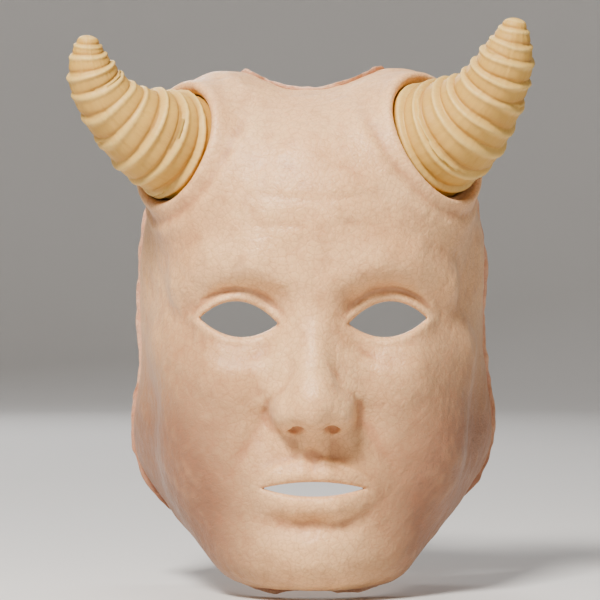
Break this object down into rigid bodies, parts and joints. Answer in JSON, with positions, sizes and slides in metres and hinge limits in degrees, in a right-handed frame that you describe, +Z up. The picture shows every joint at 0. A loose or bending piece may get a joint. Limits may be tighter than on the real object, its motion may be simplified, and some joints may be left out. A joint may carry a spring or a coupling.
{
  "type": "horned face mask",
  "caption": "Moulded full-face demon mask in soft foam latex, with ringed curved horns screwed into sockets at the forehead corners, open eyes and a parted mouth.",
  "frame": {"origin": "on the plane of the flat back rim, at eye height, midway between the side rims", "axes": "+Z up, -Y the way the face looks, +X towards the wearer's left"},
  "size_m": [0.1977, 0.1084, 0.2448],
  "materials": {
    "foam_latex": "soft matte foam latex with a faint skin sheen",
    "horn_resin": "satin cast resin, cream with darker grooves",
    "rigid_foam": "matte rigid foam",
    "hardwood": "plain sanded wood",
    "backing_plastic": "matte black sheet plastic",
    "zinc_steel": "zinc-plated steel"
  },
  "bodies": {
    "root": {"face_skin": "foam_latex", "horn_shell_left": "horn_resin", "horn_shell_right": "horn_resin", "horn_core_left": "rigid_foam", "horn_core_right": "rigid_foam", "horn_plug_left": "hardwood", "horn_plug_right": "hardwood", "backing_plate_left": "backing_plastic", "backing_plate_right": "backing_plastic", "plate_screw_left_1": "zinc_steel", "plate_screw_left_2": "zinc_steel", "plate_screw_left_3": "zinc_steel", "plate_screw_right_1": "zinc_steel", "plate_screw_right_2": "zinc_steel", "plate_screw_right_3": "zinc_steel"}
  },
  "joints": []
}
